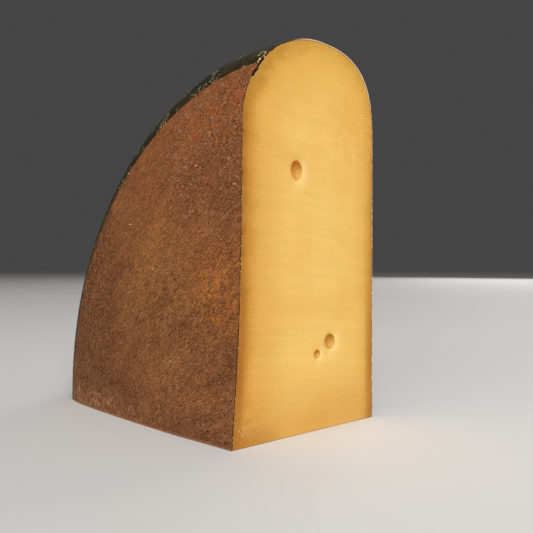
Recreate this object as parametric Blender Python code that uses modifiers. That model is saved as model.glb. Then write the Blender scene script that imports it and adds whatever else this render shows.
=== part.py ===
"""Quarter of an aged gouda wheel, standing upright on one of its two cut faces.

Units are metres, +Z is up. X runs along the wheel's axis, from the near flat
face to the far one. The vertical cut faces -Y and the other cut is the base.
The two cuts meet in a straight corner, and that corner is the working origin
until the piece is centred on its base at the end.
"""

import math

import bmesh
import bpy
from mathutils import Vector

# Wheel
WHEEL_RADIUS = 0.1764
WHEEL_THICKNESS = 0.093
CROWN_X = 0.0545
NEAR_SHOULDER_RISE = 0.0427
NEAR_SHOULDER_FULLNESS = 3.0
FAR_SHOULDER_RISE = 0.042
FAR_SHOULDER_FULLNESS = 2.65
NEAR_FLAT_RADIUS = WHEEL_RADIUS - NEAR_SHOULDER_RISE
FAR_FLAT_RADIUS = WHEEL_RADIUS - FAR_SHOULDER_RISE
SEGMENTS = 168
FACE_RINGS = 8
SHOULDER_STEPS = 12

# Cuts: the wheel's axis passes this far from the corner where they meet
AXIS_Y = -0.0133
AXIS_Z = 0.0031

# The near face stands in along the vertical cut, and bellies out over the base
INSET_AT_TOP = 0.0060
INSET_LENGTH = 0.055
INSET_POWER = 1.2
UPRIGHT_POWER = 3.0
BELLY_DEPTH = 0.0011
BELLY_CENTRE = 0.035
BELLY_RISE = 0.0036
BELLY_REACH = 0.097

# The near shoulder is worn rounder beside the vertical cut
WORN_FULLNESS = 2.0
WORN_REACH = 0.024
WORN_FROM_Z = 0.088

# Eyes: centre across the thickness, centre along the cut, width, height, depth
VERTICAL_EYES = (
    (0.0390, 0.1182, 0.0070, 0.0088, 0.0034),
    (0.0614, 0.0402, 0.0068, 0.0070, 0.0030),
    (0.0527, 0.0350, 0.0040, 0.0039, 0.0019),
)
BASE_EYES = (
    (0.0350, 0.0560, 0.0078, 0.0070, 0.0031),
    (0.0640, 0.1040, 0.0062, 0.0068, 0.0027),
    (0.0560, 0.0980, 0.0040, 0.0042, 0.0018),
)
EYE_SEGMENTS = 20
EYE_RINGS = 12

# The dark rim coat begins on the near shoulder, and covers the far one as far as the far face
COAT_START_X = 0.012
FAR_FACE_X = 0.0925

PLANE_TOLERANCE = 1e-5
MERGE_DISTANCE = 1e-5

PASTE = ("cheese_paste", (0.80, 0.50, 0.15), 0.42)
RIND = ("brown_rind", (0.19, 0.078, 0.031), 0.62)
COAT = ("dark_rim_coat", (0.032, 0.025, 0.010), 0.38)


def clear_scene():
    """Remove the objects that are already in the file."""
    for obj in list(bpy.data.objects):
        bpy.data.objects.remove(obj, do_unlink=True)


def make_collection(name):
    """Return a new collection linked to the scene."""
    collection = bpy.data.collections.new(name)
    bpy.context.scene.collection.children.link(collection)
    return collection


def make_material(name, colour, roughness):
    """Return a Principled material of one colour and roughness."""
    material = bpy.data.materials.new(name)
    material.use_nodes = True
    shader = material.node_tree.nodes["Principled BSDF"]
    shader.inputs["Base Color"].default_value = (*colour, 1.0)
    shader.inputs["Roughness"].default_value = roughness
    shader.inputs["Metallic"].default_value = 0.0
    material.diffuse_color = (*colour, 1.0)
    return material


def shoulder_radius(across, rise, fullness):
    """Radius of a shoulder, where across runs from 0 at the crown to 1 at the flat face."""
    across = min(max(across, 0.0), 1.0)
    return WHEEL_RADIUS - rise + rise * (1.0 - across ** fullness) ** (1.0 / fullness)


def shoulder_points(flat_x, rise, fullness):
    """Points (x, radius) of a shoulder, from its flat face up to the crown."""
    points = []
    for step in range(SHOULDER_STEPS + 1):
        angle = 0.5 * math.pi * step / SHOULDER_STEPS
        across = max(math.cos(angle), 0.0) ** (2.0 / fullness)
        up = math.sin(angle) ** (2.0 / fullness)
        points.append((CROWN_X + (flat_x - CROWN_X) * across, WHEEL_RADIUS - rise + rise * up))
    return points


def face_points(flat_x, radius):
    """Points (x, radius) of a flat face, from the axis outwards, without the last one."""
    return [(flat_x, radius * ring / FACE_RINGS) for ring in range(FACE_RINGS)]


def wheel_profile():
    """Half section of the wheel, from the near face's centre round to the far face's centre."""
    near = face_points(0.0, NEAR_FLAT_RADIUS)
    near += shoulder_points(0.0, NEAR_SHOULDER_RISE, NEAR_SHOULDER_FULLNESS)
    far = face_points(WHEEL_THICKNESS, FAR_FLAT_RADIUS)
    far += shoulder_points(WHEEL_THICKNESS, FAR_SHOULDER_RISE, FAR_SHOULDER_FULLNESS)
    far.pop()
    return near + far[::-1]


def new_object(name, mesh, collection):
    """Return a new object that holds the mesh."""
    obj = bpy.data.objects.new(name, mesh)
    collection.objects.link(obj)
    return obj


def hide_guide(obj):
    """Mark an object as a guide that isn't part of the model."""
    obj.hide_render = True
    obj.display_type = "WIRE"


def evaluated_mesh(obj):
    """Return a copy of the object's mesh with its modifiers applied, in world space."""
    depsgraph = bpy.context.evaluated_depsgraph_get()
    mesh = bpy.data.meshes.new_from_object(obj.evaluated_get(depsgraph))
    mesh.transform(obj.matrix_world)
    return mesh


def make_wheel(collection):
    """The whole wheel: the half section turned about the wheel's axis."""
    section = bpy.data.meshes.new("wheel_section")
    profile = wheel_profile()
    points = [(radius, 0.0, -x) for x, radius in profile]
    edges = [(index, index + 1) for index in range(len(points) - 1)]
    section.from_pydata(points, edges, [])
    wheel = new_object("wheel", section, collection)
    wheel.location = (0.0, AXIS_Y, AXIS_Z)
    wheel.rotation_euler = (0.0, -0.5 * math.pi, 0.0)
    turn = wheel.modifiers.new("turn", "SCREW")
    turn.axis = "Z"
    turn.angle = 2.0 * math.pi
    turn.steps = SEGMENTS
    turn.render_steps = SEGMENTS
    turn.use_merge_vertices = True
    turn.merge_threshold = MERGE_DISTANCE
    hide_guide(wheel)
    return wheel


def make_knife(collection):
    """A block whose lower front edge lies where the two cuts meet."""
    mesh = bpy.data.meshes.new("knife")
    block = bmesh.new()
    bmesh.ops.create_cube(block, size=1.0)
    side = 3.0 * WHEEL_RADIUS
    bmesh.ops.scale(block, vec=(side, side, side), verts=block.verts)
    bmesh.ops.translate(block, vec=(0.0, 0.5 * side, 0.5 * side), verts=block.verts)
    block.to_mesh(mesh)
    block.free()
    knife = new_object("knife", mesh, collection)
    hide_guide(knife)
    return knife


def make_eye(name, centre, size, collection):
    """An ellipsoid that leaves one round hollow in a cut face."""
    mesh = bpy.data.meshes.new(name)
    ball = bmesh.new()
    bmesh.ops.create_uvsphere(ball, u_segments=EYE_SEGMENTS, v_segments=EYE_RINGS, radius=0.5)
    bmesh.ops.scale(ball, vec=size, verts=ball.verts)
    bmesh.ops.translate(ball, vec=centre, verts=ball.verts)
    ball.to_mesh(mesh)
    ball.free()
    eye = new_object(name, mesh, collection)
    hide_guide(eye)
    return eye


def near_face_shift(y, z):
    """How far the near face stands in (+) or out (-) at a point of the wheel's plane."""
    reach = math.hypot(y, z)
    if reach < PLANE_TOLERANCE:
        return 0.0
    upright = (z / reach) ** UPRIGHT_POWER
    inset = INSET_AT_TOP * (1.0 - math.exp(-((reach / INSET_LENGTH) ** INSET_POWER)))
    along = min(reach, NEAR_FLAT_RADIUS)
    belly = BELLY_RISE * ((along - BELLY_CENTRE) / BELLY_REACH) ** 2 - BELLY_DEPTH
    blend = min(reach / BELLY_CENTRE, 1.0)
    return upright * inset + (1.0 - upright) * belly * blend


def settle_near_side(mesh):
    """Give the near face its inset and belly, and wear the shoulder beside the vertical cut."""
    for vertex in mesh.vertices:
        x, y, z = vertex.co
        if x >= CROWN_X:
            continue
        across = 1.0 - x / CROWN_X
        radius = math.hypot(y - AXIS_Y, z - AXIS_Z)
        if radius > NEAR_FLAT_RADIUS and z > WORN_FROM_Z:
            wear = math.exp(-y / WORN_REACH)
            fullness = NEAR_SHOULDER_FULLNESS + (WORN_FULLNESS - NEAR_SHOULDER_FULLNESS) * wear
            full = shoulder_radius(across, NEAR_SHOULDER_RISE, NEAR_SHOULDER_FULLNESS)
            worn = shoulder_radius(across, NEAR_SHOULDER_RISE, fullness)
            vertex.co.z -= (full - worn) * radius / (z - AXIS_Z)
        vertex.co.x += near_face_shift(y, z) * across


def paint_faces(mesh):
    """Give the cut faces the paste, the two flat faces the rind and the rim the coat."""
    for polygon in mesh.polygons:
        centre = polygon.center
        flat_cut = centre.y < PLANE_TOLERANCE or centre.z < PLANE_TOLERANCE
        if flat_cut:
            polygon.material_index = 0
        elif COAT_START_X < centre.x < FAR_FACE_X:
            polygon.material_index = 2
        else:
            polygon.material_index = 1


def make_quarter(parts, cutters):
    """The quarter wheel: the wheel cut square, settled, and hollowed by its eyes."""
    wheel = make_wheel(cutters)
    knife = make_knife(cutters)
    cut = wheel.modifiers.new("square_cut", "BOOLEAN")
    cut.operation = "INTERSECT"
    cut.solver = "EXACT"
    cut.object = knife
    mesh = evaluated_mesh(wheel)
    mesh.name = "gouda_quarter"
    settle_near_side(mesh)
    mesh.materials.clear()
    for name, colour, roughness in (PASTE, RIND, COAT):
        mesh.materials.append(make_material(name, colour, roughness))
    paint_faces(mesh)
    mesh.shade_smooth()
    mesh.set_sharp_from_angle(angle=math.radians(35.0))

    quarter = new_object("gouda_quarter", mesh, parts)
    low = Vector(map(min, zip(*(vertex.co for vertex in mesh.vertices))))
    high = Vector(map(max, zip(*(vertex.co for vertex in mesh.vertices))))
    shift = Vector((-0.5 * (low.x + high.x), -0.5 * (low.y + high.y), -low.z))
    quarter.location = shift

    eyes = bpy.data.collections.new("eyes")
    cutters.children.link(eyes)
    for index, (x, z, width, height, depth) in enumerate(VERTICAL_EYES):
        eye = make_eye(f"vertical_eye_{index}", (x, 0.0, z), (width, 2.0 * depth, height), eyes)
        eye.location = shift
    for index, (x, y, width, length, depth) in enumerate(BASE_EYES):
        eye = make_eye(f"base_eye_{index}", (x, y, 0.0), (width, length, 2.0 * depth), eyes)
        eye.location = shift
    hollow = quarter.modifiers.new("eyes", "BOOLEAN")
    hollow.operation = "DIFFERENCE"
    hollow.solver = "EXACT"
    hollow.operand_type = "COLLECTION"
    hollow.collection = eyes


def main():
    """Build the quarter wheel."""
    clear_scene()
    parts = make_collection("aged_gouda_quarter")
    cutters = make_collection("cutters")
    make_quarter(parts, cutters)
    bpy.context.view_layer.update()


main()
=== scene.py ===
"""An aged gouda: a quarter of the wheel, standing upright on one of its two cut faces.

Lengths here are millimetres in the working frame of the part's source: X runs along the
wheel's axis from the near flat face, the vertical cut is the plane y = 0, the other cut is
z = 0, and the corner where the cuts meet is the origin. Meshes are moved to the row frame,
in metres, when they are made.
"""

import math
from functools import partialmethod

import bmesh
import bpy
import numpy as np
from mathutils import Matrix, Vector
from mathutils.geometry import delaunay_2d_cdt
from mathutils.kdtree import KDTree


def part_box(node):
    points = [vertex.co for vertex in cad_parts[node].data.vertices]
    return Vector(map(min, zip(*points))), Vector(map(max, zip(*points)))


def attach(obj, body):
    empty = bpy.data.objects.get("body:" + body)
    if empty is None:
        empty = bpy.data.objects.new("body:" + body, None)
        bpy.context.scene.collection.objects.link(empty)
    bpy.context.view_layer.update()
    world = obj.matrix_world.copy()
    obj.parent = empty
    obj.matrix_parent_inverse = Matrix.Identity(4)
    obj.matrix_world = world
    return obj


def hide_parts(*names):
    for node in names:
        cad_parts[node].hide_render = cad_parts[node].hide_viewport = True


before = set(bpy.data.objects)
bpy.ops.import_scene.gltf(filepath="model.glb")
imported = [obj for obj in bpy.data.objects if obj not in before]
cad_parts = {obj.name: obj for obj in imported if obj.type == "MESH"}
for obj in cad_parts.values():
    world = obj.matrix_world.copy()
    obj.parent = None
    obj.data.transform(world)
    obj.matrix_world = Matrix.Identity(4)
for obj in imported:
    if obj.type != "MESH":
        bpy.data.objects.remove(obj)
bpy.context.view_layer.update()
box_low, box_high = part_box("gouda_quarter")

# The wheel, as in the part's source
RADIUS = 176.4
THICKNESS = 93.0
CROWN = 54.5
NEAR_RISE = 42.7
NEAR_FULLNESS = 3.0
FAR_RISE = 42.0
FAR_FULLNESS = 2.65
NEAR_FLAT = RADIUS - NEAR_RISE
FAR_FLAT = RADIUS - FAR_RISE
AXIS = (-13.3, 3.1)
WORN_FULLNESS = 2.0
WORN_REACH = 24.0

# Eyes: centre across, centre along the cut, width, length, depth
UPRIGHT_EYES = ((39.0, 118.2, 7.0, 8.8, 3.4), (61.4, 40.2, 6.8, 7.0, 3.0), (52.7, 35.0, 4.0, 3.9, 1.9))
BASE_EYES = ((35.0, 56.0, 7.8, 7.0, 3.1), (64.0, 104.0, 6.2, 6.8, 2.7), (56.0, 98.0, 4.0, 4.2, 1.8))

# Skins of rind and coat: their thickness, the wheel radius where the coat begins on each side, and
# the plan in which the coat is spread, round the rim and from near to far over it
SKIN = 0.9
COAT_EDGE = 156.0
COAT_EDGE_RISE = 3.3
FAR_COAT_EDGE = 156.5
ARC_SCALE = 168.0
NEAR_LENGTH = 58.0
FAR_LENGTH = 46.0

# Free edge round a grid of points, in grid steps
MARGIN = 0.62

# The paste's rows of points along a section, along the corner of the cuts and between the cuts
SECTION_STEPS = 960
COARSENING = 6
CORNER_STEPS = 190
FINE_ROWS = (0.05, 0.22, 0.5, 0.9, 1.5, 2.4)
COARSE_ROWS = (4.0, 8.0, 15.0, 25.0, 35.0, 45.0, 55.0, 65.0, 75.0, 82.0, 87.0, 89.4)
CORNER_RADIUS = 0.7

# Crumbs: how many hang on the near edge, then (x, z, size) in the split and (y, z, size) on the face
EDGE_CRUMBS = 38
SPLIT_CRUMBS = ((14.9, 161.9, 0.4), (16.0, 163.0, 0.58), (18.4, 164.7, 0.56), (20.6, 166.7, 0.28))
FACE_CRUMBS = ((88.0, 122.0, 0.5), (81.0, 96.0, 0.55), (30.0, 120.0, 0.45), (60.0, 74.0, 0.4))

# Paint: how deep the paste has dried under the rind, and the turn of the rind's streaks
DRIED_DEPTH = 30.0
UP_RIGHT = (-58.0, 0.0, 0.0)

# Camera, floor and lights in metres and radians in the row frame; a light is name, place, size, watts
SENSOR = 36.0
FOCAL_PIXELS = 693.5
PHOTO_PIXELS = 533.0
CAMERA_PLACE = (-0.22988, -0.2961, 0.07697)
CAMERA_PITCH = 0.0052746
CAMERA_YAW = 0.759708
FLOOR_RADIUS = 6.0
FLOOR_CORNERS = 96
SURROUND = 0.06
LIT_POINT = (0.0, 0.0, 0.09)
LIGHTS = (
    ("key", (-1.5, -2.0, 1.7), 1.6, 68.0),
    ("front_fill", (1.2, -2.6, 0.8), 2.0, 11.0),
    ("left_fill", (-2.8, -0.4, 0.7), 2.0, 20.0),
    ("overhead", (-0.4, -1.0, 2.8), 1.8, 22.0),
    ("back", (1.5, 2.3, 2.4), 1.0, 1.0),
    ("right_back", (2.8, 0.7, 1.2), 2.0, 28.0),
)

RIGHT_ANGLE = 0.5 * math.pi

# From the working frame to the row frame
SHIFT = np.array([box_high.x * 1000.0 - THICKNESS, box_low.y * 1000.0, box_low.z * 1000.0])


def columns(*values):
    """Values side by side, as points (N, 2) or (N, 3); a single number is repeated."""
    return np.stack(np.broadcast_arrays(*values), axis=1)


def turned(x, reach, angle):
    """Points (N, 3) at a reach from the corner's line and an angle about it."""
    return columns(x, reach * np.cos(angle), reach * np.sin(angle))


def hashed(ix, iy, iz, seed):
    """Repeatable numbers from -1 to 1 at whole-number points."""
    mixed = (ix * 374761393 + iy * 668265263 + iz * 1442695041 + seed * 1274126177) & 0xFFFFFFFF
    mixed = ((mixed ^ (mixed >> 13)) * 1274126177) & 0xFFFFFFFF
    mixed = mixed ^ (mixed >> 16)
    return (mixed & 0xFFFF) / 32767.5 - 1.0


def noise(points, size, seed, octaves=1):
    """Smooth noise of about -1 to 1 at points (N, 3), whose largest features are size wide."""
    total = np.zeros(len(points))
    weight = 1.0
    weights = 0.0
    for octave in range(octaves):
        scaled = points / size + 17.3 * (octave + 1)
        base = np.floor(scaled).astype(np.int64)
        part = scaled - base
        part = part * part * (3.0 - 2.0 * part)
        value = np.zeros(len(points))
        for corner in range(8):
            step = np.array([corner & 1, (corner >> 1) & 1, (corner >> 2) & 1])
            share = np.prod(np.where(step, part, 1.0 - part), axis=1)
            cell = base + step
            value += share * hashed(*cell.T, seed + octave)
        total += weight * value
        weights += weight
        weight *= 0.5
        size *= 0.5
    return total / weights


def smooth(value, start, end):
    """0 at start and 1 at end, with a smooth step between."""
    part = np.clip((value - start) / (end - start), 0.0, 1.0)
    return part * part * (3.0 - 2.0 * part)


def face_shift(y, z):
    """How far the near face stands in (+) or out (-), as in the part's source."""
    reach = np.hypot(y, z)
    upright = (z / np.maximum(reach, 1e-6)) ** 3
    inset = 6.0 * (1.0 - np.exp(-((reach / 55.0) ** 1.2)))
    along = np.minimum(reach, NEAR_FLAT)
    belly = 3.6 * ((along - 35.0) / 97.0) ** 2 - 1.1
    return upright * inset + (1.0 - upright) * belly * np.minimum(reach / 35.0, 1.0)


def near_fullness(y):
    """Fullness of the near shoulder, which is worn rounder beside the vertical cut."""
    return NEAR_FULLNESS + (WORN_FULLNESS - NEAR_FULLNESS) * np.exp(-np.maximum(y, 0.0) / WORN_REACH)


def wheel_radius(y, z):
    """Distance from the wheel's axis."""
    return np.hypot(y - AXIS[0], z - AXIS[1])


def near_x(y, z):
    """The near side's surface."""
    full = near_fullness(y)
    up = np.clip((wheel_radius(y, z) - NEAR_FLAT) / NEAR_RISE, 0.0, 1.0)
    across = (1.0 - up ** full) ** (1.0 / full)
    return CROWN * (1.0 - across) + face_shift(y, z) * across


def far_x(y, z):
    """The far side's surface."""
    up = np.clip((wheel_radius(y, z) - FAR_FLAT) / FAR_RISE, 0.0, 1.0)
    across = (1.0 - up ** FAR_FULLNESS) ** (1.0 / FAR_FULLNESS)
    return CROWN + (THICKNESS - CROWN) * across


def reach_at(angle, radius):
    """Distance from the corner, at an angle about it, to where the wheel's radius is radius."""
    along = AXIS[0] * np.cos(angle) + AXIS[1] * np.sin(angle)
    return along + np.sqrt(along ** 2 - AXIS[0] ** 2 - AXIS[1] ** 2 + radius ** 2)


def coat_edge(angle):
    """Wheel radius at which the coat begins on the near side."""
    return COAT_EDGE + COAT_EDGE_RISE * (angle / RIGHT_ANGLE) ** 4


def near_shoulder(angle, turn):
    """(x, reach) on the near shoulder; turn is 0 at the flat face and a quarter turn at the crown."""
    sine = np.maximum(np.sin(turn), 0.0)
    full = NEAR_FULLNESS + 0.0 * turn
    for _ in range(5):
        reach = reach_at(angle, NEAR_FLAT + NEAR_RISE * sine ** (2.0 / full))
        full = near_fullness(reach * np.cos(angle))
    across = np.maximum(np.cos(turn), 0.0) ** (2.0 / full)
    shift = face_shift(reach * np.cos(angle), reach * np.sin(angle))
    return CROWN * (1.0 - across) + shift * across, reach


def far_shoulder(angle, turn):
    """(x, reach) on the far shoulder; turn is 0 at the flat face and a quarter turn at the crown."""
    reach = reach_at(angle, FAR_FLAT + FAR_RISE * np.maximum(np.sin(turn), 0.0) ** (2.0 / FAR_FULLNESS))
    across = np.maximum(np.cos(turn), 0.0) ** (2.0 / FAR_FULLNESS)
    return CROWN + (THICKNESS - CROWN) * across, reach


def outline(angle, count):
    """The section at an angle about the corner, from the near end of the corner round to the far end.

    Gives count + 1 evenly spaced points (x, reach) and their inward directions.
    """
    even = np.linspace(0.0, 1.0, 401)
    turn = RIGHT_ANGLE * even ** 1.5 / (even ** 1.5 + (1.0 - even) ** 1.5)
    reach = np.linspace(0.0, reach_at(angle, NEAR_FLAT), 301)[:-1]
    near = (near_x(reach * math.cos(angle), reach * math.sin(angle)), reach)
    reach = np.linspace(0.0, reach_at(angle, FAR_FLAT), 301)[:-1]
    far = (np.full(300, THICKNESS), reach)
    shoulder = near_shoulder(angle, turn)
    back = far_shoulder(angle, turn[:-1])
    x = np.concatenate([near[0], shoulder[0], back[0][::-1], far[0][::-1]])
    r = np.concatenate([near[1], shoulder[1], back[1][::-1], far[1][::-1]])
    length = np.concatenate([[0.0], np.cumsum(np.hypot(np.diff(x), np.diff(r)))])
    at = np.linspace(0.0, length[-1], count + 1)
    x, r = np.interp(at, length, x), np.interp(at, length, r)
    slope_x, slope_r = np.gradient(x), np.gradient(r)
    size = np.hypot(slope_x, slope_r)
    inward = columns(slope_r / size, -slope_x / size)
    inward[0] = (1.0, 0.0)
    inward[-1] = (-1.0, 0.0)
    return columns(x, r), inward


def within(points, ring):
    """Whether points (N, 2) lie inside a closed ring, by counting the edges to their right."""
    end = np.roll(ring, -1, axis=0)
    x, y = points[:, :1], points[:, 1:]
    crossed = (ring[:, 1] > y) != (end[:, 1] > y)
    rise = np.where(end[:, 1] == ring[:, 1], 1.0, end[:, 1] - ring[:, 1])
    at = ring[:, 0] + (y - ring[:, 1]) * (end[:, 0] - ring[:, 0]) / rise
    return np.count_nonzero(crossed & (x < at), axis=1) % 2 == 1


def triangulate(ring, inner):
    """Triangles over a closed ring of points (N, 2) and the points inside it, ring first."""
    points = np.vstack([ring, inner])
    count = len(ring)
    edges = [(index, (index + 1) % count) for index in range(count)]
    made = delaunay_2d_cdt([Vector(point) for point in points], edges, [], 1, 1e-7, False)
    if len(made[0]) != len(points):
        raise RuntimeError("points of a sheet fall together")
    triangles = np.array(made[2], dtype=np.int64)
    doubtful = (triangles < count).all(axis=1)
    keep = ~doubtful
    keep[doubtful] = within(points[triangles[doubtful]].mean(axis=1), ring)
    return triangles[keep]


def hexagonal(low, high, step, seed):
    """Points (N, 2) of a slightly uneven hexagonal grid between two corners."""
    rows = np.arange(low[1], high[1], step * 0.866)
    u, v = np.meshgrid(np.arange(low[0], high[0], step), rows)
    u = u + 0.5 * step * (np.arange(len(rows)) % 2)[:, None]
    points = columns(u.ravel(), v.ravel())
    return points + np.random.default_rng(seed).uniform(-0.13, 0.13, points.shape) * step


def nearest(points, others):
    """Distance from each point (N, 2) to the nearest of the others, and that one's index."""
    tree = KDTree(len(others))
    for index, point in enumerate(others):
        tree.insert((*point, 0.0), index)
    tree.balance()
    found = [tree.find((*point, 0.0)) for point in points]
    return np.array([item[2] for item in found]), np.array([item[1] for item in found])


def linked(name, data):
    """A new object in the scene."""
    made = bpy.data.objects.new(name, data)
    bpy.context.scene.collection.objects.link(made)
    return made


def make_mesh(name, points, triangles, material, attributes):
    """A smooth piece from points in the working frame and their triangles."""
    triangles = triangles[(triangles != np.roll(triangles, 1, axis=1)).all(axis=1)]
    mesh = bpy.data.meshes.new(name)
    mesh.vertices.add(len(points))
    mesh.vertices.foreach_set("co", ((points + SHIFT) / 1000.0).astype(np.float32).ravel())
    mesh.loops.add(3 * len(triangles))
    mesh.loops.foreach_set("vertex_index", triangles.astype(np.int32).ravel())
    mesh.polygons.add(len(triangles))
    mesh.polygons.foreach_set("loop_start", np.arange(0, 3 * len(triangles), 3, dtype=np.int32))
    mesh.update(calc_edges=True)
    mesh.shade_smooth()
    mesh.set_sharp_from_angle(angle=math.radians(50.0))
    for key, values in attributes.items():
        kind, field = ("FLOAT", "value") if values.ndim == 1 else ("FLOAT_VECTOR", "vector")
        made = mesh.attributes.new(key, kind, "POINT")
        made.data.foreach_set(field, values.astype(np.float32).ravel())
    mesh.materials.append(material)
    piece = linked(name, mesh)
    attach(piece, "root")
    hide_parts("gouda_quarter")


def srgb(red, green, blue):
    """A linear colour from one that is written as 0 to 255 on screen."""
    values = []
    for value in (red, green, blue):
        value /= 255.0
        values.append(value / 12.92 if value <= 0.04045 else ((value + 0.055) / 1.055) ** 2.4)
    return (*values, 1.0)


class Paint:
    """A node material whose positions are millimetres in the working frame."""

    def __init__(self, name):
        self.material = bpy.data.materials.new(name)
        self.material.use_nodes = True
        self.tree = self.material.node_tree
        self.shader = self.tree.nodes["Principled BSDF"]
        where = self.node("ShaderNodeTexCoord").outputs["Object"]
        self.place = self.mapped(where, tuple(-SHIFT), scale=(1000.0,) * 3)
        self.colour = None

    def node(self, kind, inputs=None, **settings):
        """A new node with its settings, and its inputs linked or set."""
        made = self.tree.nodes.new(kind)
        for key, value in settings.items():
            setattr(made, key, value)
        for key, value in (inputs or {}).items():
            self.feed(made.inputs[key], value)
        return made

    def feed(self, socket, value):
        """Link a socket to another, or set its value."""
        if isinstance(value, bpy.types.NodeSocket):
            self.tree.links.new(value, socket)
        else:
            socket.default_value = value

    def mapped(self, vector, location=(0.0,) * 3, rotation=(0.0,) * 3, scale=(1.0,) * 3):
        """A moved, turned and scaled vector."""
        inputs = {"Vector": vector, "Location": location, "Rotation": rotation, "Scale": scale}
        return self.node("ShaderNodeMapping", inputs).outputs[0]

    def split(self, vector):
        """The three parts of a vector."""
        return tuple(self.node("ShaderNodeSeparateXYZ", {0: vector}).outputs)

    def noise(self, size, detail=2.0, rough=0.5, vector=None, stretch=None, turn=None, warp=0.0):
        """Noise of 0 to 1; stretch lengthens it along the axes, after a turn in degrees about them."""
        vector = vector or self.place
        if turn:
            vector = self.mapped(vector, rotation=tuple(math.radians(value) for value in turn))
        if stretch:
            vector = self.mapped(vector, scale=tuple(1.0 / value for value in stretch))
        return self.node("ShaderNodeTexNoise", {
            "Vector": vector, "Scale": 1.0 / size, "Detail": detail, "Roughness": rough, "Distortion": warp,
        }).outputs[0]

    def patches(self, size, start, end, low=0.0, high=1.0, detail=3.0, rough=0.6, **how):
        """Noise mapped smoothly from start..end to low..high."""
        return self.span(self.noise(size, detail, rough, **how), start, end, low, high)

    def math(self, operation, *values, clamp=False):
        """Arithmetic on two or more values, one after the other."""
        result = values[0]
        for value in values[1:]:
            inputs = {0: result, 1: value}
            result = self.node("ShaderNodeMath", inputs, operation=operation, use_clamp=clamp).outputs[0]
        return result

    product = partialmethod(math, "MULTIPLY")
    total = partialmethod(math, "ADD")
    most = partialmethod(math, "MAXIMUM")

    def scaled(self, value, scale, offset):
        """A value times a scale, plus an offset."""
        inputs = {0: value, 1: scale, 2: offset}
        return self.node("ShaderNodeMath", inputs, operation="MULTIPLY_ADD").outputs[0]

    def span(self, value, start, end, low=0.0, high=1.0):
        """Map start..end smoothly to low..high."""
        inputs = {0: value, 1: start, 2: end, 3: low, 4: high}
        return self.node("ShaderNodeMapRange", inputs, interpolation_type="SMOOTHSTEP").outputs[0]

    def line(self, value, middle, width):
        """1 where a value is at its middle and 0 from a width away."""
        away = self.node("ShaderNodeMath", {0: self.math("SUBTRACT", value, middle)}, operation="ABSOLUTE")
        return self.span(away.outputs[0], width, 0.0)

    def blob(self, centre, radii):
        """A soft patch: 1 at its centre and 0 beyond its radii."""
        scale = tuple(1.0 / value for value in radii)
        moved = self.mapped(self.place, tuple(-c / value for c, value in zip(centre, radii)), scale=scale)
        length = self.node("ShaderNodeVectorMath", {0: moved}, operation="LENGTH").outputs["Value"]
        return self.span(length, 1.0, 0.25)

    def attribute(self, name, output="Fac"):
        """A value that the mesh carries."""
        return self.node("ShaderNodeAttribute", attribute_name=name).outputs[output]

    def ramp(self, value, stops):
        """A colour ramp; stops are (position, colour on screen)."""
        made = self.node("ShaderNodeValToRGB", {0: value})
        elements = made.color_ramp.elements
        while len(elements) < len(stops):
            elements.new(0.5)
        for element, (position, colour) in zip(elements, stops):
            element.position = position
            element.color = srgb(*colour)
        return made.outputs[0]

    def mix(self, share, first, second, kind="MIX"):
        """Mix two colours."""
        inputs = {0: share, 6: first, 7: second}
        return self.node("ShaderNodeMix", inputs, data_type="RGBA", blend_type=kind).outputs[2]

    def lay(self, colour, *shares):
        """Lay a colour, as on screen, over what is painted so far, by the product of some shares."""
        self.colour = self.mix(self.product(*shares), self.colour, srgb(*colour))

    def shade(self, tone, share=1.0):
        """Multiply what is painted so far by a colour or a lightness."""
        self.colour = self.mix(share, self.colour, tone, "MULTIPLY")

    def bump(self, height, distance, strength):
        """A bump of a height, in millimetres."""
        inputs = {"Height": height, "Distance": distance / 1000.0, "Strength": strength}
        return self.node("ShaderNodeBump", inputs).outputs[0]

    def finish(self, roughness, normal, **values):
        """Feed the shader; values are more of its sockets, by name."""
        values.update(Base_Color=self.colour, Roughness=roughness, Normal=normal)
        for key, value in values.items():
            self.feed(self.shader.inputs[key.replace("_", " ")], value)
        return self.material


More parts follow.
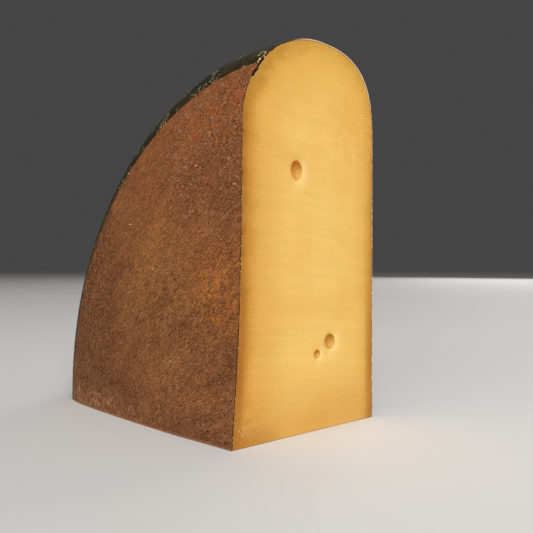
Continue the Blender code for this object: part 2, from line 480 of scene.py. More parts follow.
def paste_material():
    """Cheese paste: pale gold inside, amber where it has dried under the rind."""
    paint = Paint("cheese_paste")
    across, _, up = paint.split(paint.place)
    under = paint.attribute("under_rind")
    waver = paint.scaled(paint.noise(14.0), 3.0, -1.5)
    fine = paint.scaled(paint.noise(2.2), 0.9, -0.45)
    share = paint.product(paint.total(under, waver, fine), 1.0 / DRIED_DEPTH)
    near = paint.ramp(share, (
        (0.0, (154, 98, 24)), (0.035, (160, 102, 22)), (0.08, (178, 118, 28)), (0.14, (198, 139, 46)),
        (0.24, (213, 159, 68)), (0.34, (222, 169, 79)), (0.6, (229, 180, 91)), (1.0, (237, 193, 105)),
    ))
    far = paint.ramp(share, (
        (0.0, (186, 126, 44)), (0.04, (198, 143, 54)), (0.08, (207, 156, 66)), (0.14, (216, 166, 73)),
        (0.26, (229, 181, 90)), (0.5, (236, 191, 102)), (1.0, (238, 194, 106)),
    ))
    paint.colour = paint.mix(paint.span(across, 30.0, 62.0), near, far)

    # Streaks that the wire leaves, fine changes of tint and tone, and slow clouds
    streaks = paint.noise(3.0, 3.0, 0.6, stretch=(10.0, 10.0, 1.0), turn=(0.0, -6.0, 0.0), warp=0.6)
    paint.shade(paint.span(streaks, 0.3, 0.72, 0.964, 1.032))
    yellower, whiter = (1.012, 0.985, 0.86, 1.0), (0.992, 1.012, 1.12, 1.0)
    paint.shade(paint.mix(paint.patches(1.5, 0.32, 0.68), yellower, whiter))
    paint.shade(paint.patches(0.55, 0.3, 0.7, 0.975, 1.022, detail=2.0))
    clouds = paint.patches(22.0, 0.42, 0.72, 0.0, 0.42, detail=4.0, rough=0.55, stretch=(1.5, 1.0, 1.0))
    paint.lay((226, 168, 70), clouds)

    # Darker at the foot and the dome, amber and olive beside the rind, deep yellow at the far shoulder
    paint.lay((200, 140, 56), paint.span(up, 34.0, 2.0, 0.0, 0.5))
    paint.lay((222, 171, 72), paint.span(up, 128.0, 172.0, 0.0, 0.6))
    amber = paint.product(
        paint.span(under, 13.0, 3.0), paint.patches(7.0, 0.46, 0.66, 0.0, 0.5),
        paint.span(across, 46.0, 24.0, 0.35, 1.0),
    )
    paint.lay((196, 132, 40), amber)
    olive = paint.product(
        paint.span(up, 132.0, 150.0), paint.span(under, 9.0, 2.0),
        paint.patches(6.0, 0.4, 0.62, 0.35, 0.85), paint.span(across, 44.0, 26.0, 0.25, 0.85),
    )
    paint.lay((174, 124, 38), olive)
    shoulder = paint.blob((80.0, 0.0, 141.0), (25.0, 40.0, 30.0))
    paint.lay((227, 166, 66), shoulder, paint.patches(5.0, 0.4, 0.6, 0.2, 0.6))

    # Eyes: browner where the air has reached, painted lighter inside towards the lower far side
    # where the light falls, with painted glints, and a painted highlight and painted shade round the lip
    eye, lit_side, edge = paint.split(paint.attribute("eye", "Vector"))
    lit = paint.total(lit_side, paint.patches(1.4, 0.3, 0.7, -0.1, 0.1, detail=2.0, rough=0.5))
    inside = paint.ramp(lit, (
        (0.1, (230, 130, 20)), (0.45, (216, 138, 34)), (0.75, (197, 145, 54)), (1.0, (214, 172, 86)),
    ))
    # Pale painted glints inside the eyes
    painted_glints = paint.patches(0.6, 0.62, 0.7, 0.0, 0.5, detail=2.0)
    inside = paint.mix(painted_glints, inside, srgb(236, 200, 146))
    # Painted highlight round the lower far side of each lip, painted shade round its upper near side
    paint.lay((248, 222, 156), paint.math("MULTIPLY", edge, 0.4, clamp=True))
    paint.lay((212, 144, 66), paint.math("MULTIPLY", edge, -0.4, clamp=True))
    paint.colour = paint.mix(eye, paint.colour, inside)

    # Crystals, short scratches and crumbly scuffs, most of them towards the rind
    specks = paint.noise(0.5, 2.0, 0.65)
    ticks = paint.noise(0.55, 2.0, 0.6, stretch=(4.0, 1.0, 1.0), turn=(0.0, -8.0, 0.0))
    cuts = paint.noise(0.6, 2.0, 0.6, stretch=(1.0, 1.0, 6.0), turn=(0.0, 34.0, 0.0))
    beds = paint.noise(10.0, 3.0, 0.6)
    near_side = paint.product(paint.span(across, 30.0, 16.0), paint.span(across, 4.0, 9.0), 0.55)
    far_side = paint.span(across, 70.0, 84.0)
    high = paint.span(up, 124.0, 156.0)
    foot = paint.product(paint.span(up, 24.0, 8.0), paint.span(across, 26.0, 8.0))
    zone = paint.most(near_side, far_side, high, paint.product(foot, 0.4), 0.22)
    zone = paint.most(paint.product(zone, paint.span(beds, 0.44, 0.6)), shoulder)
    marks = paint.most(
        paint.span(specks, 0.6, 0.72), paint.span(ticks, 0.62, 0.74),
        paint.product(paint.span(cuts, 0.64, 0.76), paint.span(beds, 0.52, 0.62)),
    )
    paint.lay((250, 220, 156), marks, zone, 0.48)
    paint.lay((252, 226, 170), marks, shoulder, 0.45)

    # Dried edge low down, scuffed and chipped foot, pale crumbs, and painted shade: dark under the skins
    dried = paint.product(paint.span(up, 96.0, 30.0), paint.span(under, 6.5, 1.6), 0.62)
    paint.lay((168, 104, 26), dried)
    paint.lay((228, 182, 110), foot, paint.patches(1.6, 0.54, 0.66, rough=0.7), 0.35)
    paint.lay((186, 124, 44), foot, paint.patches(4.0, 0.5, 0.66, rough=0.7), 0.55)
    grounded = paint.product(paint.span(up, 11.0, 1.5), paint.span(across, 34.0, 16.0), 0.5)
    paint.lay((172, 110, 34), grounded)
    chipped = paint.blob((6.2, 0.0, 6.6), (4.4, 12.0, 2.9))
    chips = paint.patches(0.8, 0.56, 0.64, detail=2.0, stretch=(2.2, 1.0, 1.0), turn=(0.0, 30.0, 0.0))
    paint.lay((240, 214, 166), chipped, chips, 0.6)
    paint.lay((214, 178, 116), paint.attribute("pale"), 0.75)
    # Painted shade: the paste under the skins is dark where it shows in the gaps and the split
    paint.lay((44, 27, 14), paint.span(under, -0.5, -3.0))

    grain = paint.noise(0.9, 3.0, 0.6)
    height = paint.total(
        paint.product(streaks, 0.5), paint.product(specks, 0.12), paint.product(grain, 0.22)
    )
    return paint.finish(
        paint.patches(5.0, 0.3, 0.7, 0.46, 0.6, rough=0.5), paint.bump(height, 0.1, 0.6),
        Subsurface_Weight=0.1, Subsurface_Scale=0.0014, Subsurface_Radius=(1.0, 0.6, 0.25),
        Specular_IOR_Level=0.3,
    )


def grained(paint, streak, speck):
    """The rind's grain over its patches of colour: fine, with streaks up and to the right."""
    tone = paint.mix(paint.span(streak, 0.3, 0.7), (0.79, 0.75, 0.64, 1.0), (1.21, 1.25, 1.36, 1.0))
    paint.shade(tone)
    tone = paint.mix(paint.span(speck, 0.28, 0.72), (0.36, 0.3, 0.1, 1.0), (1.64, 1.7, 1.96, 1.0))
    paint.shade(tone)
    stroke = paint.noise(0.8, 2.0, 0.6, stretch=(1.0, 1.0, 2.8), turn=UP_RIGHT, warp=0.5)
    paint.lay((180, 134, 98), paint.span(stroke, 0.6, 0.7, 0.0, 0.65))
    paint.lay((78, 42, 20), paint.patches(1.0, 0.62, 0.72, 0.0, 0.25, detail=2.0, stretch=(1.0, 1.3, 1.0)))


def cut_edge(paint, near, outside, seam, split, level):
    """Colour a skin's cut edge: near, or on the far side one colour outside, a painted highlight, and a
    seam inside.

    seam is two colours that change along it, split the distance across from near to far side,
    and level the depth at which the seam begins.
    """
    depth = paint.attribute("depth")
    jag = paint.total(depth, paint.scaled(paint.noise(0.8), 0.5, -0.25))
    seam = paint.mix(paint.patches(5.0, 0.44, 0.6, rough=0.7), srgb(*seam[0]), srgb(*seam[1]))
    # Far side: a pale painted highlight along the outer edge of the cut, the seam inside it
    far = paint.mix(paint.span(jag, level, level + 0.12), outside, seam)
    edge = paint.mix(paint.span(paint.split(paint.place)[0], *split), near, far)
    paint.colour = paint.mix(paint.span(depth, 0.02, 0.1), paint.colour, edge)


def rind_material(name, placed):
    """Brown rind of a flat face; placed adds the patches and creases that only the near face shows."""
    paint = Paint(name)
    _, along, up = paint.split(paint.place)
    around = paint.attribute("around", "Vector")
    radius = paint.split(around)[0]
    cloud = paint.noise(14.0, 4.0, 0.6, stretch=(1.0, 1.0, 1.8), turn=UP_RIGHT)
    paint.colour = paint.ramp(cloud, ((0.34, (105, 64, 35)), (0.5, (121, 75, 41)), (0.66, (138, 87, 47))))
    streak = paint.noise(0.85, 3.0, 0.6, stretch=(1.0, 1.0, 5.0), turn=UP_RIGHT)
    speck = paint.noise(0.47, 2.0, 0.65, stretch=(1.0, 1.0, 2.0), turn=UP_RIGHT)

    # Light and dark smears beside the coat
    smear = paint.noise(3.6, 3.0, 0.55, vector=around, stretch=(1.0, 3.0, 1.0), warp=1.2)
    beside_coat = paint.span(radius, 132.0, 148.0)
    paint.lay((152, 93, 49), beside_coat, paint.span(smear, 0.51, 0.6), 0.8)
    paint.lay((100, 61, 34), beside_coat, paint.span(smear, 0.47, 0.4), 0.5)
    if placed:
        # Coarser and stronger grain away from the cut, softer beside the coat
        bold = paint.noise(0.82, 2.0, 0.65, stretch=(1.0, 1.5, 1.5), turn=UP_RIGHT)
        coarser = paint.product(paint.math("SUBTRACT", bold, speck), paint.span(along, 60.0, 125.0))
        strong = paint.product(
            paint.math("SUBTRACT", paint.total(speck, coarser), 0.5),
            paint.span(along, 70.0, 130.0, 1.0, 1.5), paint.span(radius, 124.0, 142.0, 1.0, 0.7),
        )
        speck = paint.total(strong, 0.5)

        # Patches of colour: warm middle, dark rim, red top, glow beside the cut, ochre and low patches
        paint.lay((147, 86, 47), paint.blob((0.0, 40.0, 112.0), (60.0, 78.0, 70.0)), 0.45)
        paint.lay((92, 59, 38), paint.span(along, 76.0, 122.0, 0.0, 0.34))
        paint.lay((150, 87, 47), paint.blob((6.0, 34.0, 143.0), (60.0, 56.0, 26.0)), 0.35)
        red = paint.product(
            paint.span(radius, 126.0, 140.0), paint.span(along, 70.0, 44.0),
            paint.span(smear, 0.51, 0.58), 0.8,
        )
        paint.lay((142, 77, 40), red)
        broken = paint.patches(4.0, 0.36, 0.64, detail=4.0, rough=0.7)
        fine = paint.span(speck, 0.35, 0.65, 0.6, 1.0)
        glow = paint.product(paint.blob((0.0, 10.0, 66.0), (60.0, 32.0, 34.0)), broken, fine, 0.7)
        paint.lay((180, 107, 44), glow)
        ochre = paint.product(paint.blob((0.0, 58.0, 70.0), (60.0, 40.0, 46.0)), broken, 0.5)
        paint.lay((156, 106, 50), ochre)
        low = paint.product(paint.blob((0.0, 44.0, 26.0), (60.0, 40.0, 22.0)), broken, 0.45)
        paint.lay((150, 98, 52), low)
    grained(paint, streak, speck)
    height = paint.total(paint.product(speck, 0.5), paint.product(streak, 0.5))
    if placed:
        # Creases high up beside the cut: a light line of painted highlight and a dark one of painted shade
        # along each
        crease = paint.noise(3.0, 1.0, 0.5, stretch=(1.0, 1.7, 1.0), warp=2.2)
        parts = paint.patches(5.0, 0.44, 0.52, detail=2.0, rough=0.5, stretch=(1.0, 1.8, 1.0))
        creased = paint.blob((0.0, 14.0, 126.0), (60.0, 58.0, 50.0))
        for middle, share, colour in ((0.46, 1.0, (192, 134, 92)), (0.52, 0.85, (84, 46, 26))):
            paint.lay(colour, paint.line(crease, middle, 0.055), parts, creased, share)
        ridge = paint.product(paint.line(crease, 0.46, 0.1), parts, creased)
        height = paint.total(height, paint.product(ridge, 1.1))

    # Scratches near the ground, crosswise
    scratches = [
        paint.patches(0.9, 0.55, 0.66, detail=2.0, stretch=(1.0, 1.0, 4.0), turn=(turn, 0.0, 0.0))
        for turn in (40.0, -50.0)
    ]
    corner = paint.product(paint.span(up, 15.0, 6.0), paint.span(along, 40.0, 112.0, 0.25, 1.0))
    scuffed = paint.most(paint.product(corner, paint.most(*scratches)), paint.span(up, 1.6, 0.3, 0.0, 0.45))
    paint.lay((186, 138, 102), scuffed, 0.75)

    # Pale painted highlight along the outer side of the far cut edge
    edge_highlight = paint.mix(paint.patches(3.0, 0.46, 0.62, rough=0.7), srgb(186, 136, 84), srgb(238, 214, 172))
    cut_edge(paint, srgb(44, 27, 16), edge_highlight, ((150, 94, 36), (70, 42, 22)), (40.0, 56.0), 0.44)
    rough = paint.span(speck, 0.3, 0.7, 0.58, 0.78)
    return paint.finish(rough, paint.bump(height, 0.42, 0.95), Specular_IOR_Level=0.14)


def coat_material():
    """Dark olive coat on the rim, glossy, with scattered flecks of gold."""
    paint = Paint("rim_coat")
    across, along, _ = paint.split(paint.place)
    around = paint.attribute("around", "Vector")
    cloud = paint.noise(7.0, 4.0, 0.6)
    paint.colour = paint.ramp(cloud, ((0.3, (32, 28, 14)), (0.55, (44, 38, 19)), (0.75, (62, 54, 29))))
    paint.lay((82, 75, 46), paint.span(along, 84.0, 128.0, 0.0, 0.45))
    speck = paint.noise(0.7, 3.0, 0.7)
    paint.shade(paint.span(speck, 0.3, 0.7, 0.65, 1.4))
    drawn = paint.patches(0.75, 0.36, 0.64, 0.5, 1.62, vector=around, stretch=(1.0, 9.0, 1.0), warp=0.4)
    paint.shade(drawn, paint.patches(9.0, 0.42, 0.58, 0.2, 1.0))

    # Flecks of gold in beds, more of them where the photograph shows the rim
    fleck = paint.noise(0.5, 2.0, 0.65, vector=around, stretch=(1.0, 2.4, 1.0), warp=0.5)
    shown = paint.blob((14.0, 34.0, 152.0), (34.0, 46.0, 38.0))
    beds = paint.total(paint.noise(6.5, 3.0, 0.6), paint.product(shown, 0.09))
    gold = paint.product(paint.span(fleck, 0.57, 0.6), paint.span(beds, 0.575, 0.615))
    paint.colour = paint.mix(gold, paint.colour, paint.mix(speck, srgb(188, 168, 110), srgb(244, 224, 168)))

    dark = paint.mix(paint.span(across, 20.0, 28.0), srgb(46, 28, 16), srgb(96, 52, 26))
    # Cut edge: dark on the near side; on the far side a pale painted highlight outside and a seam inside
    cut_edge(paint, dark, srgb(226, 200, 164), ((160, 100, 38), (92, 54, 24)), (34.0, 46.0), 0.48)
    height = paint.total(paint.product(speck, 0.4), paint.noise(2.6))
    rough = paint.span(speck, 0.3, 0.7, 0.34, 0.48)
    return paint.finish(rough, paint.bump(height, 0.12, 0.7), Specular_IOR_Level=0.2)


def skin(name, plan, place, flipped, material):
    """A thin closed sheet: fine outside, plain inside, with its cut edge between.

    plan is the ring round the sheet, the fine points inside it and the coarse ones; place(points,
    depth) gives the sheet's points, with depth 0 outside and 1 inside.
    """
    ring, fine, coarse = plan
    count = len(ring)
    points = []
    depths = []
    rings = []
    start = 0
    blocks = ((0.0, np.vstack([ring, fine])), (0.12, ring), (0.5, ring), (1.0, np.vstack([ring, coarse])))
    for depth, block in blocks:
        points.append(place(block, depth))
        depths.append(np.full(len(block), depth))
        rings.append(np.arange(start, start + count))
        start += len(block)
    faces = [triangulate(ring, fine), (triangulate(ring, coarse) + rings[-1][0])[:, ::-1]]
    for upper, lower in zip(rings[:-1], rings[1:]):
        next_upper, next_lower = np.roll(upper, -1), np.roll(lower, -1)
        faces.append(columns(next_upper, upper, lower))
        faces.append(columns(next_upper, lower, next_lower))
    faces = np.vstack(faces)
    if flipped:
        faces = faces[:, ::-1]
    points = np.vstack(points)
    attributes = {"depth": np.concatenate(depths), "around": around_wheel(points)}
    make_mesh(name, points, faces, material, attributes)


def around_wheel(points):
    """Polar coordinates on the wheel: radius, and distance round it."""
    y, z = points[:, 1] - AXIS[0], points[:, 2] - AXIS[1]
    return columns(np.hypot(y, z), np.arctan2(z, y) * 150.0, points[:, 0])


def tuck(points, depth):
    """Keep a skin behind both cuts, its inner part a little deeper than its outer edge."""
    points[:, 1] = np.maximum(points[:, 1], 0.04 + 0.24 * depth)
    points[:, 2] = np.maximum(points[:, 2], 0.03 + 0.2 * depth)
    return points


def rind_relief(points, seed, crinkled):
    """Grain, pits and wrinkles of the brown rind, inwards; crinkled says how strong the wrinkles are."""
    y, z = points[:, 1], points[:, 2]
    streaked = columns(points[:, 0], (y + z) * 0.707, (z - y) * 0.707 / 1.8)
    bent = points + 1.6 * columns(*(noise(points, 3.0, seed + step) for step in (1, 2, 3)))
    ridge = np.clip(1.0 - 2.6 * np.abs(noise(bent, 2.4, seed + 13)), 0.0, 1.0)
    relief = 0.24 + 0.05 * noise(points, 11.0, seed, 2) + 0.1 * noise(streaked, 1.5, seed + 7, 2)
    relief += crinkled * (0.5 - ridge) * 0.2
    return np.maximum(relief, 0.02)


def face_plan(edge, counts, grids):
    """Ring of a flat face, and the fine and the coarse points inside it.

    edge(angle) is the wheel radius where the face ends, counts are the ring's points along the
    base, round the wheel and down the corner, and grids are each grid's step and seed.
    """
    arc = np.linspace(0.0, RIGHT_ANGLE, counts[1])
    reach = reach_at(arc, edge(arc))
    base = np.linspace(0.0, reach[0], counts[0])[:-1]
    top = np.linspace(reach[-1], 0.0, counts[2])[1:-1]
    round_it = columns(reach * np.cos(arc), reach * np.sin(arc))
    plan = [np.vstack([columns(base, 0.0), round_it, columns(0.0, top)])]
    for size, seed in grids:
        grid = hexagonal((0.0, 0.0), (166.0, 166.0), size, seed)
        margin = min(MARGIN * size, 2.0)
        angle = np.arctan2(grid[:, 1], np.maximum(grid[:, 0], 1e-6))
        inside = wheel_radius(*grid.T) < edge(angle) - margin
        plan.append(grid[inside & (grid > margin).all(axis=1)])
    return plan


def near_rind():
    """The brown near face, out to where the coat begins."""

    def place(plan, depth):
        y, z = plan.T
        points = columns(near_x(y, z), y, z)
        creased = 0.35 + 0.9 * smooth(y, 75.0, 25.0) * smooth(z, 82.0, 112.0)
        points[:, 0] += rind_relief(points, 21, creased) * (1.0 - depth) + depth * SKIN
        return tuck(points, depth)

    plan = face_plan(coat_edge, (260, 420, 300), ((0.56, 3), (7.0, 4)))
    skin("near_rind", plan, place, True, rind_material("brown_rind_near", True))


def far_rind():
    """The brown far face, out to where the coat ends."""

    def place(plan, depth):
        y, z = plan.T
        points = columns(far_x(y, z), y, z)
        points[:, 0] -= rind_relief(points, 41, 0.4) * (1.0 - depth) + depth * SKIN
        return tuck(points, depth)

    plan = face_plan(lambda angle: FAR_COAT_EDGE + 0.0 * angle, (200, 300, 240), ((0.8, 5), (7.0, 6)))
    skin("far_rind", plan, place, False, rind_material("brown_rind_far", False))


def rim_points(plan):
    """(x, reach, angle) on the rim, for plan coordinates: round it, and from near to far over it."""
    angle = np.clip(plan[:, 0] / ARC_SCALE, 0.0, RIGHT_ANGLE)
    start = reach_at(angle, coat_edge(angle))
    up = (coat_edge(angle) - NEAR_FLAT) / NEAR_RISE
    first = np.arcsin(np.clip(up ** (0.5 * near_fullness(start * np.cos(angle))), 0.0, 1.0))
    share = np.clip(plan[:, 1] / NEAR_LENGTH, 0.0, 1.0)
    turn = first + (RIGHT_ANGLE - first) * (1.0 - (1.0 - share) ** 1.5)
    near = near_shoulder(angle, turn)
    up = (FAR_COAT_EDGE - FAR_FLAT) / FAR_RISE
    last = math.asin(up ** (0.5 * FAR_FULLNESS))
    share = np.clip((plan[:, 1] - NEAR_LENGTH) / FAR_LENGTH, 0.0, 1.0)
    far = far_shoulder(angle, RIGHT_ANGLE - (RIGHT_ANGLE - last) * share ** 1.33)
    over = plan[:, 1] > NEAR_LENGTH
    return np.where(over, far[0], near[0]), np.where(over, far[1], near[1]), angle


def worn_rim(points):
    """How far the rim is worn in beyond its crown, beside the vertical cut."""
    x, y = points[:, 0], points[:, 1]
    return 0.55 * smooth(x, 45.0, 69.0) * smooth(x, 88.0, 73.0) * np.exp(-y / 35.0)


def rim_coat():
    """The dark coat over the rim."""
    length = NEAR_LENGTH + FAR_LENGTH
    width = RIGHT_ANGLE * ARC_SCALE
    sides = np.linspace(0.0, length, 190)
    ends = np.linspace(0.0, width, 420)
    plan = [np.vstack([
        columns(ends[:-1], 0.0), columns(width, sides[:-1]),
        columns(ends[:0:-1], length), columns(0.0, sides[:0:-1]),
    ])]
    for size, seed in ((0.72, 7), (6.0, 8)):
        grid = hexagonal((0.0, 0.0), (width, length), size, seed)
        margin = MARGIN * size
        plan.append(grid[((grid > margin) & (grid < (width - margin, length - margin))).all(axis=1)])

    def place(plan, depth):
        x, reach, angle = rim_points(plan)
        ahead = rim_points(plan + (0.0, 0.05))
        behind = rim_points(plan - (0.0, 0.05))
        slope_x, slope_r = ahead[0] - behind[0], ahead[1] - behind[1]
        size = np.maximum(np.hypot(slope_x, slope_r), 1e-9)
        points = turned(x, reach, angle)
        relief = 0.08 + 0.045 * noise(points, 5.0, 61, 3)
        inward = relief * (1.0 - depth) + depth * SKIN + worn_rim(points)
        points = turned(x + inward * slope_r / size, reach - inward * slope_x / size, angle)
        return tuck(points, depth)

    skin("rim_coat", plan, place, False, coat_material())


def eye_hollows(points, eyes):
    """Depth of the eyes and of the soft dish round each, with what the paint needs of them.

    The second array holds the share of an eye, how far a point lies to an eye's lower far side
    (0 to 1), and the edge round it: positive where a pale highlight is painted, negative where brownish
    shade is painted.
    """
    depth, inside, low, edge = np.zeros((4, len(points)))
    for x, along, width, length, deep in eyes:
        u, v = points[:, 0] - x, points[:, 1] - along
        out = np.hypot(u / (0.5 * width), v / (0.5 * length))
        bowl = deep * np.sqrt(np.clip(1.0 - out ** 2, 0.0, 1.0))
        dish = 0.48 * np.exp(-np.maximum(out - 1.0, 0.0) / 0.6)
        depth += bowl + dish
        inside = np.maximum(inside, smooth(out, 1.08, 0.94))
        side = 0.88 * u - 0.47 * v
        side /= np.maximum(np.hypot(u, v), 0.1)
        low = np.where(out < 1.4, 0.5 + 0.5 * side * np.minimum(out, 1.0), low)
        near = smooth(out, 0.98, 1.1)
        # Painted highlight on the lip's lower far side, painted shade on its upper near side
        edge += near * np.exp(-np.maximum(out - 1.1, 0.0) ** 2) * smooth(side, -0.3, 0.7)
        edge -= near * np.exp(-((np.maximum(out - 1.0, 0.0) / 0.35) ** 2)) * smooth(side, 0.1, -0.7)
    return depth, columns(inside, low, edge)


def eye_rings(eyes):
    """Rings of points (N, 2) in and round the eyes."""
    rings = []
    for x, along, width, length, _ in eyes:
        for out, count in ((0.0, 1), (0.22, 8), (0.42, 14), (0.6, 20), (0.74, 26), (0.85, 32), (0.92, 36),
                           (0.965, 40), (1.0, 44), (1.05, 44), (1.13, 44), (1.25, 44), (1.4, 44)):
            turn = np.linspace(0.0, 2.0 * math.pi, count, endpoint=False) + out * 5.0
            u, v = 0.5 * width * out * np.cos(turn), 0.5 * length * out * np.sin(turn)
            rings.append(columns(x + u, along + v))
    return np.vstack(rings)


def outside_eyes(points, eyes):
    """Which points keep clear of the rings round the eyes."""
    keep = np.ones(len(points), dtype=bool)
    for x, along, width, length, _ in eyes:
        out = np.hypot((points[:, 0] - x) / (0.5 * width), (points[:, 1] - along) / (0.5 * length))
        keep &= out > 1.52
    return keep


def ragged_inset(points):
    """How far in from the rind's outside the paste's edge lies in a cut, torn a little."""
    torn = 0.22 * noise(points, 1.6, 81, 2) + 0.14 * noise(points, 0.5, 83)
    lower = smooth(points[:, 2], 130.0, 60.0)
    high = smooth(points[:, 2], 158.0, 168.0)
    near = np.clip(0.62 + 0.2 * lower - 0.3 * high + 1.3 * torn, 0.05, 1.15)
    far = 0.86 + 0.5 * torn
    return near + (far - near) * smooth(points[:, 0], 32.0, 46.0)


def crack(points):
    """Extra gap between rind and paste: the split high on the near shoulder."""
    z = points[:, 2]
    near = points[:, 0] < 46.0
    wide = 0.78 * smooth(z, 154.8, 156.4) * smooth(z, 161.5, 158.0)
    wide += 0.62 * smooth(z, 157.0, 160.0) * smooth(z, 168.0, 164.0)
    thin = 0.22 * smooth(z, 162.0, 167.0) * smooth(points[:, 0], 44.0, 36.0)
    torn = 1.0 + 0.6 * noise(points, 1.6, 91, 2)
    return np.where(near, (wide + thin) * torn, 0.0) * np.exp(-points[:, 1] / 3.5)


def section_points(angle, count, inset):
    """Points (N, 3) of a section, moved in by an inset that may be a function of the outer points."""
    line, inward = outline(angle, count)
    depth = inset(turned(line[:, 0], line[:, 1], angle))
    reach = np.maximum(line[:, 1] + inward[:, 1] * depth, 0.0)
    return turned(line[:, 0] + inward[:, 0] * depth, reach, angle)


def corner_round(distance):
    """How far a face turns away at a distance from the rounded corner of the two cuts."""
    inside = np.clip(CORNER_RADIUS - distance, 0.0, CORNER_RADIUS)
    return CORNER_RADIUS - np.sqrt(np.maximum(CORNER_RADIUS ** 2 - inside ** 2, 0.0))


def cut_face(points, eyes, seed):
    """Depth of the relief behind a cut's plane at points (N, 2), and the marks of the eyes there."""
    flat = columns(*points.T, 0.0)
    depth, marks = eye_hollows(points, eyes)
    long = flat * (1.0 / 9.0, 1.0, 1.0)
    depth += 0.16 + 0.05 * noise(flat, 24.0, seed, 2) + 0.022 * noise(long, 2.6, seed + 5, 2)
    depth += 0.012 * noise(flat, 1.3, seed + 9)
    return depth, marks


def paste_body():
    """The paste: both cut faces, and the sides that the skins cover."""

    def edge_inset(points):
        return ragged_inset(points) + crack(points) + worn_rim(points)

    def hidden_inset(points):
        return SKIN + 0.06 + crack(points) + worn_rim(points)

    points = []
    rims = []
    eyes = []
    faces = []

    def add(new, rim=0.0, eye=0.0):
        """Keep new points, their distance from the rim and share of an eye; gives their numbers."""
        start = sum(len(block) for block in points)
        points.append(new)
        rims.append(np.zeros(len(new)) + rim)
        eyes.append(np.zeros((len(new), 3)) + eye)
        return np.arange(start, start + len(new))

    # The corner line, shared by both cuts
    vertical = section_points(RIGHT_ANGLE, SECTION_STEPS, edge_inset)
    level = section_points(0.0, SECTION_STEPS, edge_inset)
    line_x = np.linspace(vertical[0, 0], vertical[-1, 0], CORNER_STEPS)
    corner = columns(line_x, 0.205, 0.205)
    corner[:, 1:] += 0.05 * noise(corner, 2.2, 101, 2)[:, None]
    corner_ids = add(corner, nearest(columns(line_x, 0.0), vertical[:, [0, 2]])[0])

    outlines = []
    for line, plane, other, holes, seed, step, first in (
        (vertical, 1, 2, UPRIGHT_EYES, 111, 0.6, True),
        (level, 2, 1, BASE_EYES, 131, 0.9, False),
    ):
        plan_line = line[1:-1][:, [0, other]]
        ring = np.vstack([plan_line, columns(line_x[::-1], 0.0)])
        grid = hexagonal((0.0, 0.0), (94.0, 180.0), step, seed)
        y = np.zeros(len(grid)) if first else grid[:, 1]
        z = grid[:, 1] if first else np.zeros(len(grid))
        inside = (wheel_radius(y, z) < RADIUS - 0.5) & (grid[:, 1] > 1.3)
        inside &= (grid[:, 0] > near_x(y, z) + 0.6) & (grid[:, 0] < far_x(y, z) - 0.6)
        grid = grid[inside & outside_eyes(grid, holes)]
        away, which = nearest(grid, plan_line)
        tangent = np.gradient(plan_line, axis=0)
        gap = grid - plan_line[which]
        behind = gap[:, 0] * tangent[which, 1] - gap[:, 1] * tangent[which, 0] > 0.0
        grid = grid[behind & (away > MARGIN * step + 0.1)]
        border = np.vstack([columns(line_x[1:-1] + 0.2 * away, away) for away in (0.18, 0.42, 0.8)])
        border = border[nearest(border, plan_line)[0] > 0.45]
        grid = np.vstack([grid, border, eye_rings(holes)])
        triangles = triangulate(ring, grid)
        plan = np.vstack([plan_line, grid])
        depth, marks = cut_face(plan, holes, seed)
        depth = np.maximum(depth, corner_round(plan[:, 1]))
        if not first:
            depth -= 0.08
        made = np.zeros((len(plan), 3))
        made[:, 0] = plan[:, 0]
        made[:, other] = plan[:, 1]
        made[:, plane] = np.maximum(depth, 0.01)
        rim = nearest(plan, line[:, [0, other]])[0]
        ids = add(made, rim, marks)
        edge = len(plan_line)
        order = np.concatenate([ids[:edge], corner_ids[::-1], ids[edge:]])
        triangles = order[triangles]
        if not first:
            triangles = triangles[:, ::-1]
        faces.append(triangles)
        outlines.append(np.concatenate([corner_ids[:1], ids[:edge], corner_ids[-1:]]))

    def strip(upper, lower):
        """Triangles between two rows of equal length."""
        faces.append(columns(upper[:-1], upper[1:], lower[1:]))
        faces.append(columns(upper[:-1], lower[1:], lower[:-1]))

    def zip_rows(fine, coarse, flipped):
        """A fine row joined to a coarse one."""
        middle = COARSENING // 2
        made = []
        for step in range(COARSENING):
            end = coarse[:-1] if step < middle else coarse[1:]
            made.append(columns(fine[step:-1:COARSENING], fine[step + 1::COARSENING], end))
        made.append(columns(coarse[:-1], fine[middle:-1:COARSENING], coarse[1:]))
        made = np.vstack(made)
        faces.append(made[:, ::-1] if flipped else made)

    def row(angle, steps=SECTION_STEPS):
        """A row of points under the skins, at an angle about the corner, with the corner's ends."""
        line = section_points(angle, steps, hidden_inset)
        line[:, 1] = np.maximum(line[:, 1], 0.34 + 0.4 * (RIGHT_ANGLE - angle))
        line[:, 2] = np.maximum(line[:, 2], 0.3 + 0.4 * angle)
        ids = add(line[1:-1], -6.0)
        return np.concatenate([corner_ids[:1], ids, corner_ids[-1:]])

    last = outlines[0]
    for angle in np.radians(FINE_ROWS):
        new = row(RIGHT_ANGLE - angle)
        strip(last, new)
        last = new
    coarse = row(RIGHT_ANGLE - math.radians(COARSE_ROWS[0]), SECTION_STEPS // COARSENING)
    zip_rows(last, coarse, False)
    for angle in np.radians(COARSE_ROWS[1:]):
        new = row(RIGHT_ANGLE - angle, SECTION_STEPS // COARSENING)
        strip(coarse, new)
        coarse = new
    inner = row(math.radians(0.06))
    zip_rows(inner, coarse, True)
    strip(inner, outlines[1])

    attributes = {"under_rind": np.concatenate(rims), "eye": np.concatenate(eyes)}
    make_mesh("paste_body", np.vstack(points), np.vstack(faces), paste, attributes)


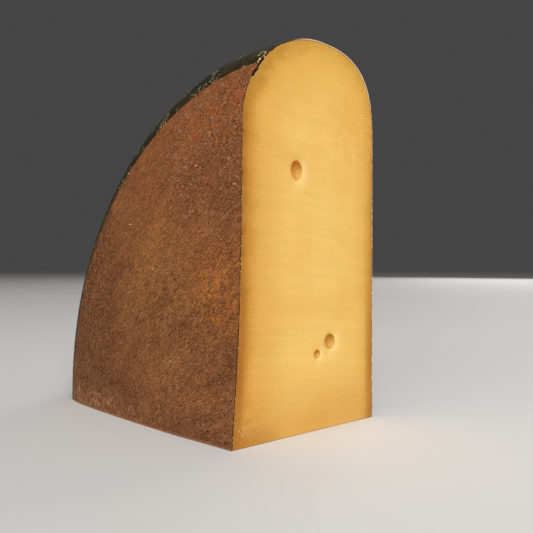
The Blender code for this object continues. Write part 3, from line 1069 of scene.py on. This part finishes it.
def paste_crumbs():
    """Crumbs of paste that hang on the torn edge, in the split and on the brown face."""
    random = np.random.default_rng(5)
    ball = bmesh.new()
    bmesh.ops.create_icosphere(ball, subdivisions=2, radius=1.0)
    ball.verts.index_update()
    base = np.array([vertex.co for vertex in ball.verts])
    base_faces = np.array([[vertex.index for vertex in face.verts] for face in ball.faces])
    ball.free()
    places = []
    for _ in range(EDGE_CRUMBS):
        z = random.uniform(3.0, 172.0)
        x = float(near_x(0.0, z))
        if x < 26.0:
            size = random.uniform(0.09, 0.26)
            x += random.uniform(0.45, 1.0)
            places.append((x, 0.2, z, size, size * 0.45, size * random.uniform(1.0, 1.9)))
    for x, z, size in SPLIT_CRUMBS:
        places.append((x + 0.45, 0.36, z, size, 0.5 * size, 1.25 * size))
    for y, z, size in FACE_CRUMBS:
        x = float(near_x(y, z))
        places.append((x + 0.16, y, z, 0.35 * size, 1.9 * size, 0.6 * size))
    blocks = []
    faces = []
    for index, (x, y, z, a, b, c) in enumerate(places):
        bumpy = base * (1.0 + 0.35 * noise(base + 9.0 * index, 0.9, 141, 2))[:, None]
        block = bumpy * (a, b, c) + (x, y, z)
        block[:, 1] = np.maximum(block[:, 1], 0.02)
        block[:, 0] = np.maximum(block[:, 0], 0.02 - 1.0 * (y > 10.0))
        faces.append(base_faces + len(base) * index)
        blocks.append(block)
    points = np.vstack(blocks)
    attributes = {"under_rind": np.full(len(points), 12.0), "pale": np.ones(len(points))}
    make_mesh("paste_crumbs", points, np.vstack(faces), paste, attributes)


def area_light(name, place, size, watts):
    """A square soft light at a place, in metres in the row frame, turned to the cheese."""
    data = bpy.data.lights.new(name, "AREA")
    data.shape = "SQUARE"
    data.size = size
    data.energy = watts
    light = linked(name, data)
    light.location = place
    light.rotation_euler = (Vector(LIT_POINT) - Vector(place)).to_track_quat("-Z", "Y").to_euler()


def make_floor():
    """A wide pale floor, faintly uneven in tone."""
    mesh = bpy.data.meshes.new("floor")
    turns = np.linspace(0.0, 2.0 * math.pi, FLOOR_CORNERS, endpoint=False)
    corners = [(FLOOR_RADIUS * math.cos(turn), FLOOR_RADIUS * math.sin(turn), 0.0) for turn in turns]
    mesh.from_pydata(corners, [], [list(range(FLOOR_CORNERS))])
    floor = linked("floor", mesh)
    paint = Paint("pale_floor")
    paint.colour = paint.mix(paint.noise(400.0), (0.7, 0.69, 0.67, 1.0), (0.74, 0.73, 0.71, 1.0))
    mesh.materials.append(paint.finish(0.75, paint.bump(paint.noise(3.0), 0.05, 0.3)))


def make_camera():
    """The camera at the photograph's viewing angle."""
    data = bpy.data.cameras.new("camera")
    data.sensor_width = SENSOR
    data.lens = FOCAL_PIXELS / PHOTO_PIXELS * SENSOR
    data.clip_start = 0.01
    data.clip_end = 50.0
    camera = linked("camera", data)
    camera.location = CAMERA_PLACE
    camera.rotation_euler = (RIGHT_ANGLE - CAMERA_PITCH, 0.0, -CAMERA_YAW)
    bpy.context.scene.camera = camera


def make_light():
    """Soft studio light, most of it from the upper left, in a dim even surround."""
    world = bpy.data.worlds.new("studio")
    world.use_nodes = True
    surround = world.node_tree.nodes["Background"]
    surround.inputs["Color"].default_value = (1.0, 1.0, 1.0, 1.0)
    surround.inputs["Strength"].default_value = SURROUND
    scene = bpy.context.scene
    scene.world = world
    for light in LIGHTS:
        area_light(*light)
    scene.view_settings.view_transform = "Standard"
    scene.view_settings.look = "None"


paste = paste_material()
paste_body()
paste_crumbs()
near_rind()
rim_coat()
far_rind()
make_floor()
make_camera()
make_light()
